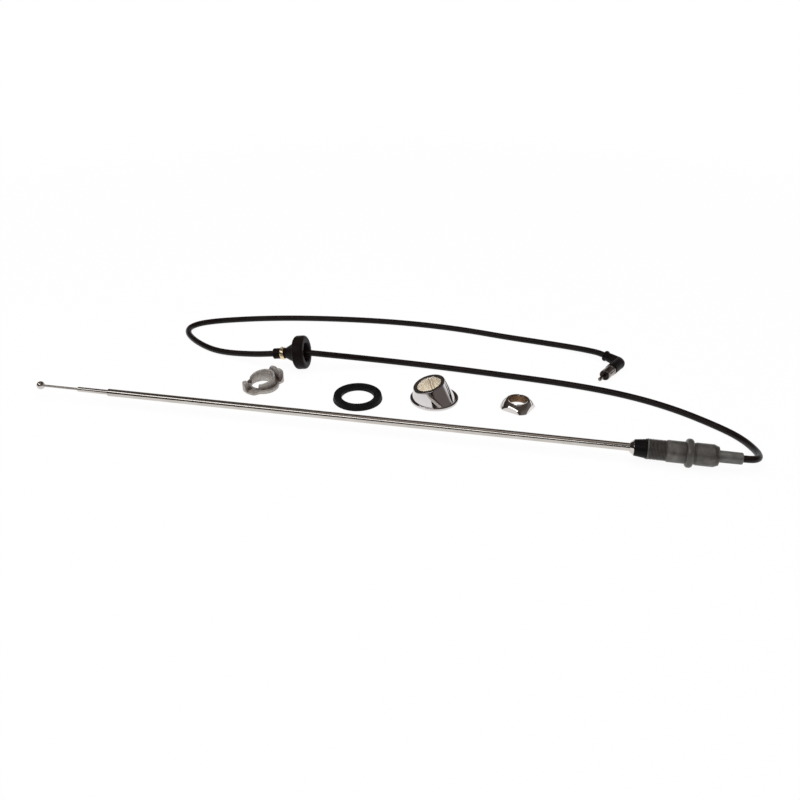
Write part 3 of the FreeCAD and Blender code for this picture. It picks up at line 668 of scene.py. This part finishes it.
def bentGrid(outline, columns, way):
    # the outline is carried along the way: straight, an arc into the new direction, and straight
    # again; each section is a circle across the way, drawn out on the outer side of the bend
    radius, turn = plug["bendRadius"], way["turn"]
    along, out = np.array(way["along"]), np.array(way["out"])
    across = (out - along * math.cos(turn)) / math.sin(turn)
    above = np.cross(across, along)
    distance = outline[:, :1]
    bent = np.clip((distance - way["start"]) / radius, 0, turn)
    middle = along * np.minimum(distance, way["start"]) + along * radius * np.sin(bent) \
        + across * radius * (1 - np.cos(bent)) + out * np.maximum(distance - way["finish"], 0)
    side = np.cross(above, along * np.cos(bent) + across * np.sin(bent))
    angle = ringAngles(columns)
    fullness = 1 + plug["elbowFullness"] * np.sin(np.pi * bent / turn)
    sideways = np.cos(angle) * np.where(np.cos(angle) > 0, fullness, 1)
    ring = sideways[:, :, None] * side[:, None, :] + np.sin(angle)[:, :, None] * above
    return (middle[:, None, :] + ring * outline[:, 1][:, None, None]) * mm + np.array(way["end"])


def inPlugSlot(along, angle):
    # near a slot's middle, measured round the sleeve, and between the slot's ends
    turned = angle * plug["slotCount"] - math.radians(plug["slotAngle"]) * plug["slotCount"]
    away = np.abs(np.arctan2(np.sin(turned), np.cos(turned)) / plug["slotCount"])
    return (away * plug["sleeveRadius"] < plug["slotHalfWidth"]) \
        & (along > plug["slotFrom"]) & (along < plug["slotTo"])


def plugSleeveRadius(along, radius, angle):
    # the slots go down through the wall to the insulator
    slotted = inPlugSlot(along, angle) & (radius > plug["wallOver"])
    return np.where(slotted, plug["slotFloor"], radius)


def makePlug():
    # the housing's outline is carried round the elbow, and the rest is turned about the way out
    way = plugWay()
    lip, front = plug["lipLength"], way["front"]
    step = front - plug["stepLength"]
    outline = rounded([
        (0, 0), (0, plug["lipRadius"], 0.5), (lip, plug["lipRadius"], 0.5),
        (lip + plug["lipSlope"], plug["neckRadius"], 0.4), (way["start"], plug["bootRadius"], 1.5),
        (way["finish"] - plug["barrelLead"], plug["barrelRadius"], 2.0),
        (step, plug["barrelRadius"], 0.35), (step, plug["stepRadius"], 0.2),
        (front, plug["stepRadius"], 0.3), (front, 0)])
    outline = splitLong(outline, plug["row"], closed=False)
    housing = addSurface("plugHousing", bentGrid(outline, plug["columns"], way), plugPlastic,
                         "plug_plastic", "plug_housing", closedRows=False)

    def onPlug(name, rings, material, slot, replaced, **options):
        grid = placeGrid(rings, way["corner"], way["out"])
        return addSurface(name, grid, material, slot, replaced, **options)

    sleeve = fineRows(rounded(plug["sleeve"]), *plug["slotRows"], plug["slotRow"])
    columns = plug["sleeveColumns"]
    middle = (sleeve + np.roll(sleeve, -1, axis=0)) / 2
    bands = inPlugSlot(middle[:, :1], ringAngles(columns) + np.pi / columns) \
        & (middle[:, 1:] > plug["wallOver"])    # the slots' floors show the insulator
    pin = turnedGrid(rounded(plug["pin"], plug["pinSteps"]), plug["pinColumns"])
    return [housing,
            onPlug("plugSleeve", turnedGrid(sleeve, columns, plugSleeveRadius),
                   [nickelPlug, brownResin], "plug_metal", "plug_sleeve", bands=bands),
            onPlug("plugInsulator", turnedGrid(rounded(plug["insulator"])), brownResin,
                   "insulator_brown", "plug_insulator"),
            onPlug("plugPin", pin, nickelPlug, "plug_metal", "plug_pin", closedRows=False)]


leadPieces = leadPieces + makePlug()
print("plug moulded")


# loose fixings: each is a grid of rings about its own upright axis, placed from the ferrule's front

def kitPlace(settings):
    # a fixing's place on the floor
    x, y = settings["place"]
    return Vector((ferruleFront.x + x * mm, ferruleFront.y + y * mm, 0))


def standGrid(radius, height, angle, settings):
    # rings: point (radius, angle) at a height, about the fixing's own axis
    turned = angle + math.radians(settings.get("heading", 0))
    grid = np.stack(np.broadcast_arrays(radius * np.cos(turned), radius * np.sin(turned), height),
                    axis=-1)
    return grid * mm + np.array(kitPlace(settings))


def spanMask(angle, span, soft):
    # 1 inside a span of degrees, falling softly to 0 at its ends
    middle, half = sum(span) / 2, (span[1] - span[0]) / 2
    away = np.abs((np.degrees(angle) - middle + 180) % 360 - 180)
    return 1 - softStep(away, half - soft, half + soft)


def firstBand(rows, shown, columns):
    # material index: 0 for the rows that are shown first, 1 for the rest
    return np.repeat((np.arange(rows) >= shown)[:, None], columns, axis=1)


# claw: spans in degrees, fades in radius; edges as (inset, height); painted shade by its depth, its
# reach in rows and columns and its share on the plate
claw = dict(
    place=(-310.0, 54.0), heading=60.0, columns=480, row=0.2, bore=9.5, plate=3.5,
    plateRadius=14.5, castWaves=[(0.22, 3, 0.6), (0.12, 7, 2.0)], farEar=(-30.0, 32.0),
    farReach=19.8, nearEar=(147.0, 211.0), nearReach=17.8, earSoft=10.0, collarFade=(11.05, 11.75),
    backWall=(-12.0, 122.0), frontWall=(212.0, 349.0), wallSoft=2.5, rimHeight=9.4, rimSlope=13.0,
    tooth=(-26.0, 28.0), toothSoft=8.0, toothFade=(13.2, 15.6), toothHeight=11.8, saddleDepth=1.3,
    saddleSpan=6.0, hook=(150.0, 175.0), hookSoft=6.0, hookFade=(12.9, 14.3), hookHeight=9.0,
    edge=0.8, humpEdge=2.4, nearEdge=0.6, boreEdge=0.6, sideRows=14,
    footEdge=[(0.0, 0.5), (0.15, 0.15), (0.5, 0.0)],
    boreFoot=[(0.4, 0.0), (0.1, 0.12), (0.0, 0.4)], grimeDepth=6.0, grimeReach=(9, 14),
    plateShade=0.4)


def highestNear(field, rowReach, columnReach):
    # the largest value within a few rows and columns of each point; columns run round
    best = field
    for step in range(1, rowReach + 1):
        later = np.vstack([field[step:], field[-1:].repeat(step, 0)])
        earlier = np.vstack([field[:1].repeat(step, 0), field[:-step]])
        best = np.maximum.reduce([best, later, earlier])
    wide = best
    for step in range(1, columnReach + 1):
        wide = np.maximum.reduce([wide, np.roll(best, step, 1), np.roll(best, -step, 1)])
    return wide


def roundOver(away, edge):
    # how far a quarter-round edge has dropped, at a distance in from it
    inward = np.clip(1 - away / edge, 0, 1)
    return edge * (1 - np.sqrt(np.maximum(0, 1 - inward ** 2)))


def makeClaw():
    # height field in rings: the plate, with the collar walls, the saddled tooth and the hook standing on
    # it; each ring stops at the outline's own radius, where the edge is rounded over and the side goes
    # down; painted shade lies where something higher stands near, and on the plate
    angle = ringAngles(claw["columns"])
    ones = np.ones_like(angle)
    plate, plateRadius, soft = claw["plate"], claw["plateRadius"], claw["earSoft"]
    farEar, nearEar = spanMask(angle, claw["farEar"], soft), spanMask(angle, claw["nearEar"], soft)
    waves = sum(size * np.sin(count * angle + phase) for size, count, phase in claw["castWaves"])
    outer = plateRadius + waves * (1 - farEar) * (1 - nearEar) \
        + (claw["farReach"] - plateRadius) * farEar + (claw["nearReach"] - plateRadius) * nearEar
    radius = np.arange(claw["bore"], claw["farReach"] + claw["row"], claw["row"])[:, None]
    radius = np.minimum(radius, outer)
    fromTooth = (np.degrees(angle) + 180) % 360 - 180 - sum(claw["tooth"]) / 2
    saddle = claw["saddleDepth"] * np.exp(-(fromTooth / claw["saddleSpan"]) ** 2)
    rim = claw["rimHeight"] + math.tan(math.radians(claw["rimSlope"])) * radius * np.cos(angle)
    walls = np.maximum(spanMask(angle, claw["backWall"], claw["wallSoft"]),
                       spanMask(angle, claw["frontWall"], claw["wallSoft"]))
    collar = (1 - softStep(radius, *claw["collarFade"])) * walls
    hump = softStep(radius, *claw["toothFade"]) * spanMask(angle, claw["tooth"], claw["toothSoft"])
    hook = softStep(radius, *claw["hookFade"]) * spanMask(angle, claw["hook"], claw["hookSoft"])
    top = plate + np.maximum.reduce([collar * (rim - plate),
                                     hump * (claw["toothHeight"] - plate - saddle),
                                     hook * (claw["hookHeight"] - plate)])
    ears = np.maximum(farEar, claw["nearEdge"] * nearEar)
    edge = claw["edge"] + (claw["humpEdge"] - claw["edge"]) * ears
    top = top - roundOver(outer - radius, edge) \
        - claw["boreEdge"] * roundOver(radius - claw["bore"], claw["edge"])
    foot, inner = np.array(claw["footEdge"]), np.array(claw["boreFoot"])
    side = np.linspace(0, 1, claw["sideRows"])[1:-1, None]
    sideHeight = top[-1:] * (1 - side) + foot[0, 1] * side
    rings = np.concatenate([radius, outer * np.ones_like(side), outer - foot[:, :1],
                            (claw["bore"] + inner[:, :1]) * ones])
    heights = np.concatenate([top, sideHeight, foot[:, 1:] * ones, inner[:, 1:] * ones])
    grime = np.zeros_like(heights)
    # painted shade where something higher stands near, and a share of it on the plate
    shade = (highestNear(top, *claw["grimeReach"]) - top) / claw["grimeDepth"]
    grime[:len(top)] = np.clip(shade + claw["plateShade"] * np.exp(-(top - plate) ** 2), 0, 1)
    return addSurface("clampClaw", standGrid(rings, heights, angle, claw), castZinc,
                      "cast_zinc", "clamp_claw", grime=grime)


# gasket: corners as (height, radius, fillet)
gasket = dict(
    place=(-223.5, 49.0), columns=160,
    outline=[(0, 13.8, 0.4), (0, 21.15, 0.3), (4.4, 20.2, 0.4), (4.4, 19.4, 0.2), (3.6, 18.6, 0.4),
             (3.6, 13.8, 0.6)])


def makeGasket():
    # flat ring: the outline turned about the upright axis
    outline = rounded(gasket["outline"])
    grid = standGrid(outline[:, 1:], outline[:, :1], ringAngles(gasket["columns"]), gasket)
    return addSurface("rubberGasket", grid, gasketRubber, "gasket_rubber", "rubber_gasket")


# pad: edges as (inset or offset, drop below the rim); painted shade beside the rib as (side, width,
# share)
pad = dict(
    place=(-159.6, 61.3), heading=201.0, lean=17.5, columns=256, foot=18.9, rim=13.8,
    rimHeight=15.4, rimEdge=[(0.08, 0.1), (0.3, 0.0), (0.5, 0.0)], coneFrom=0.35, coneTo=0.975,
    coneRows=24, flange=20.5, flangeHeight=1.1, lipInner=19.7, lipHeight=2.0, gap=0.05, bore=9.9,
    boreEdge=[(0.75, 0.0), (0.55, 0.05)], boreChamfer=(0.1, 0.45), boreDrop=0.7, boreRows=10,
    wallFoot=16.9, post=11.9, postDrop=2.2, pocketRows=[0.5, 0.98], keyAngle=-106.0,
    keyHalfWidth=1.1, keyDepth=0.9, ribShade=[(1, 0.5, 1.0), (-1, 0.3, 0.6)])


def makePad():
    # leaning cone between a level foot ring and a tipped rim ring, with a flange round the foot, a
    # bore along the leaning axis with one rib, and a pocket underneath between post and wall
    angle = ringAngles(pad["columns"])
    x, y, zero = np.cos(angle), np.sin(angle), np.zeros_like(angle)
    lean = math.radians(pad["lean"])
    c, s = math.cos(lean), math.sin(lean)
    rise = pad["rimHeight"] / c

    def tipped(radius, drop):
        # ring across the leaning axis, a distance below the rim's plane
        along = rise - drop
        return np.stack([radius * x * c + along * s, radius * y, along * c - radius * x * s], axis=-1)

    def level(radius, height):
        # level ring round the foot's middle
        return np.stack([radius * x, radius * y, zero + height], axis=-1)

    def cutLevel(radius):
        # where a tube along the leaning axis meets the floor
        return np.stack([radius * x / c, radius * y, zero], axis=-1)

    def rowsBetween(first, second, shares):
        # shares: one for each row, or one for each row and column
        shares = np.asarray(shares)
        shares = shares[:, None, None] if shares.ndim == 1 else shares[:, :, None]
        return first + (second - first) * shares

    turned = angle - math.radians(pad["keyAngle"])
    beside = pad["bore"] * np.sin(turned)
    facing = np.cos(turned) > 0
    bore = pad["bore"] - pad["keyDepth"] * ((np.abs(beside) < pad["keyHalfWidth"]) & facing)
    foot, rim = level(pad["foot"], 0.0), tipped(pad["rim"], 0.0)
    start = (pad["flangeHeight"] + pad["coneFrom"]) / rim[..., 2]
    cone = start + (pad["coneTo"] - start) * np.linspace(0, 1, pad["coneRows"])[:, None]
    flange = rounded([
        (0, pad["wallFoot"]), (0, pad["flange"], 0.25), (pad["lipHeight"], pad["flange"], 0.3),
        (pad["lipHeight"], pad["lipInner"], 0.25), (pad["flangeHeight"], pad["lipInner"], 0.25),
        (pad["flangeHeight"], pad["foot"] + pad["gap"])])
    outside = [level(radius, height) for height, radius in flange] + [rowsBetween(foot, rim, cone)] \
        + [tipped(pad["rim"] - inset, drop) for inset, drop in pad["rimEdge"]] \
        + [tipped(pad["bore"] + offset, drop) for offset, drop in pad["boreEdge"]]
    offset, drop = pad["boreChamfer"]
    post = tipped(pad["post"], pad["postDrop"])
    wall = level(pad["wallFoot"] - pad["gap"], 0.0)
    inside = [tipped(pad["bore"] + offset, drop),
              rowsBetween(tipped(bore, pad["boreDrop"]), cutLevel(bore),
                          np.linspace(0, 1, pad["boreRows"])),
              cutLevel(pad["post"]), post, rowsBetween(post, wall, pad["pocketRows"])]
    grid = np.concatenate(outside + inside)
    shown = sum(len(rows) for rows in outside)
    grime = np.zeros(grid.shape[:2])
    # painted shade in the creases beside the bore's rib, more on one side
    shadeAmount = sum(share * np.exp(-((beside - side * pad["keyHalfWidth"]) / width) ** 2)
               for side, width, share in pad["ribShade"])
    grime[shown:shown + 1 + pad["boreRows"]] = np.clip(shadeAmount, 0, 1) * facing
    spin = np.array(Matrix.Rotation(-math.radians(pad["heading"]), 3, "Z"))
    return addSurface("bevelPad", grid @ spin * mm + np.array(kitPlace(pad)),
                      [padChrome, creamInside], "pad_chrome", "bevel_pad",
                      bands=firstBand(len(grid), shown, pad["columns"]), grime=grime)


# nut: the foot's edge as (inset, height), the rim's as (inset, drop)
nut = dict(
    place=(-89.0, 62.5), heading=67.0, columns=288, height=6.9, foot=15.0, top=9.65, flat=12.5,
    flatCount=4, domeFrom=0.5, domeDrop=0.4, lastDrop=0.25, domeRows=36,
    footEdge=[(0.5, 0.0), (0.12, 0.08), (0.0, 0.35)],
    rimEdge=[(0.08, 0.1), (0.25, 0.0), (0.6, 0.0)], bore=7.5, chamfer=0.5, boreFoot=0.45,
    boreRow=0.125, threadPitch=1.0, threadDepth=0.35, slotHalfWidth=1.2, slotDepth=1.2,
    slotTurn=14.0)


def makeNut():
    # outside: the smaller of a dome, which is a sphere through foot and top, and four upright flats,
    # so the flats end in arches; two slots across the top rim; inside: a triangle-wave thread along
    # a helix
    angle = ringAngles(nut["columns"])
    ones = np.ones_like(angle)
    tall = nut["height"]
    step = 2 * np.pi / nut["flatCount"]
    flat = nut["flat"] / np.cos((angle + step / 2) % step - step / 2)
    below = (nut["foot"] ** 2 - nut["top"] ** 2 - tall ** 2) / (2 * tall)

    def outside(height):
        # the sphere's radius at this height, or the flat where it lies nearer
        dome = np.sqrt(nut["foot"] ** 2 + below ** 2 - (height + below) ** 2)
        return np.minimum(dome, flat)

    lower, rim = np.array(nut["footEdge"]), np.array(nut["rimEdge"])
    footRise = lower[-1, 1]
    dome = np.linspace(nut["domeFrom"], tall - nut["domeDrop"], nut["domeRows"])
    height = np.concatenate([[footRise], dome, [tall - nut["lastDrop"]]])[:, None]
    bore = np.arange(tall - nut["chamfer"], nut["boreFoot"], -nut["boreRow"])[:, None]
    helix = bore / nut["threadPitch"] + angle / (2 * np.pi)
    thread = nut["bore"] + nut["threadDepth"] * tooth(helix)
    mouth = nut["bore"] + nut["chamfer"]
    radius = np.concatenate([outside(footRise) - lower[:, :1], outside(height),
                             outside(tall) - rim[:, :1], mouth * ones, thread, mouth * ones])
    heights = np.concatenate([lower[:, 1:] * ones, height * ones, (tall - rim[:, 1:]) * ones,
                              tall * ones, bore * ones, 0 * ones])
    shown = len(lower) + len(height) + len(rim)
    slotFloor = tall - nut["slotDepth"]
    across = np.abs(radius * np.sin(angle - math.radians(nut["slotTurn"])))
    slotted = (across < nut["slotHalfWidth"]) & (heights > slotFloor)
    inBore = (np.arange(len(radius)) > shown)[:, None]
    radius = np.where(slotted & inBore, mouth, radius)
    heights = np.where(slotted, slotFloor, heights)
    return addSurface("fixingNut", standGrid(radius, heights, angle, nut), [nutChrome, nutInside],
                      "nut_chrome", "fixing_nut",
                      bands=firstBand(len(radius), shown, nut["columns"]))


makeClaw()
makeGasket()
makePad()
makeNut()
print("fixings made")


# floor and light: pairs are the ends of soft changes, of distance on the floor and of direction
# in the room
studio = dict(
    floorSize=14.0, floorShade=0.92, showThrough=0.95, fade=(0.5, 1.1),
    horizon=(0.016, 0.013, 0.012), dome=(0.072, 0.060, 0.053), domeRise=(0.05, 0.8),
    zenith=(0.42, 0.38, 0.355), zenithRise=(0.93, 0.98), sideWall=(0.15, 0.132, 0.125),
    sideFrom=(0.28, 0.55), sideTop=(0.75, 0.45), white=(1, 1, 1), backdropTop=(0.27, 0.16),
    backdropFrom=(0.2, 0.6),
    strip=dict(width=2.8, height=0.5, power=10.0, place=(-0.83, -1.18, 1.57)),
    fill=dict(width=2.0, height=2.0, power=32.0, place=(0.0, -0.1, 1.6)))


def addFloor():
    # white sheet: matt for the light that falls on it, and glowing for the rays that look at it; the
    # glow's share rises to the whole away from the object
    half = studio["floorSize"] / 2
    mesh = bpy.data.meshes.new("floor")
    corners = [(-half, -half, 0), (half, -half, 0), (half, half, 0), (-half, half, 0)]
    mesh.from_pydata(corners, [], [(0, 1, 2, 3)])
    floor = addObject("floor", mesh)
    material = bpy.data.materials.new("paleFloor")
    material.use_nodes = True
    tree = material.node_tree
    tree.nodes.clear()
    plain = addNode(tree, "BsdfDiffuse", {"Color": (*[studio["floorShade"]] * 3, 1)})
    glow = addNode(tree, "Emission", {"Color": (*studio["white"], 1), "Strength": 1.0})
    ray = addNode(tree, "LightPath").outputs
    seen = maths(tree, "MAXIMUM", ray["Is Camera Ray"], ray["Is Glossy Ray"])
    seen = maths(tree, "MAXIMUM", seen, ray["Is Transmission Ray"])
    place = addNode(tree, "TexCoord").outputs["Object"]
    away = addNode(tree, "VectorMath", None, {0: place}, operation="LENGTH")
    fade = between(tree, away.outputs["Value"], studio["showThrough"], 1.0, *studio["fade"],
                   interpolation_type="SMOOTHSTEP")
    blend = addNode(tree, "MixShader", None,
                    {0: maths(tree, "MULTIPLY", seen, fade), 1: plain.outputs[0], 2: glow.outputs[0]})
    addNode(tree, "OutputMaterial", None, {"Surface": blend.outputs[0]})
    mesh.materials.append(material)


def addWorld():
    # dim room, darkest towards the horizon, with a lighter ceiling and side wall; metal mirrors a low
    # white backdrop behind the object, and the camera sees white wherever it looks past the floor
    world = bpy.data.worlds.new("studio")
    bpy.context.scene.world = world
    world.use_nodes = True
    tree = world.node_tree
    tree.nodes.clear()
    place = addNode(tree, "TexCoord").outputs["Generated"]
    way = addNode(tree, "SeparateXYZ", None, {0: place}).outputs

    def ramp(axis, ends):
        return between(tree, way[axis], 0, 1, *studio[ends], interpolation_type="SMOOTHSTEP")

    room = twoTone(tree, ramp("Z", "domeRise"), studio["horizon"], studio["dome"])
    room = overlay(tree, ramp("Z", "zenithRise"), room, studio["zenith"])
    beside = maths(tree, "MULTIPLY", ramp("X", "sideFrom"), ramp("Z", "sideTop"))
    room = overlay(tree, beside, room, studio["sideWall"])
    backdrop = maths(tree, "MULTIPLY", ramp("Z", "backdropTop"), ramp("Y", "backdropFrom"))
    ray = addNode(tree, "LightPath").outputs
    mirrored = maths(tree, "MAXIMUM", ray["Is Glossy Ray"], ray["Is Transmission Ray"])
    seen = maths(tree, "MAXIMUM", ray["Is Camera Ray"], maths(tree, "MULTIPLY", mirrored, backdrop))
    shade = overlay(tree, seen, room, studio["white"])
    sky = addNode(tree, "Background", {"Strength": 1.0}, {"Color": shade})
    addNode(tree, "OutputWorld", None, {"Surface": sky.outputs[0]})


def addSoftbox(name, mirrored):
    # flat lamp that faces the set; only the strip shows in polished metal
    box = studio[name]
    lamp = bpy.data.lights.new(name, "AREA")
    lamp.shape = "RECTANGLE"
    lamp.size = box["width"]
    lamp.size_y = box["height"]
    lamp.energy = box["power"]
    holder = addObject(name, lamp)
    holder.visible_glossy = mirrored
    place = Vector(box["place"])
    facing = (-place).to_track_quat("-Z", "Y").to_matrix().to_4x4()
    holder.matrix_world = Matrix.Translation(place) @ facing


addFloor()
addWorld()
addSoftbox("strip", True)
addSoftbox("fill", False)
bpy.context.scene.view_settings.view_transform = "Standard"
print("studio lit")

# finishes of the pieces that stay as they are, inside the base and the mast
innerFinish = dict(
    middle_friction_bush=brassPlain, whip_friction_bush=brassPlain, contact_terminal=brassPlain,
    rear_insulator=collarPlastic, cable_core=brassPlain, cable_end=cableJacket)
for name, material in innerFinish.items():
    nodes[name].data.materials.clear()
    nodes[name].data.materials.append(material)
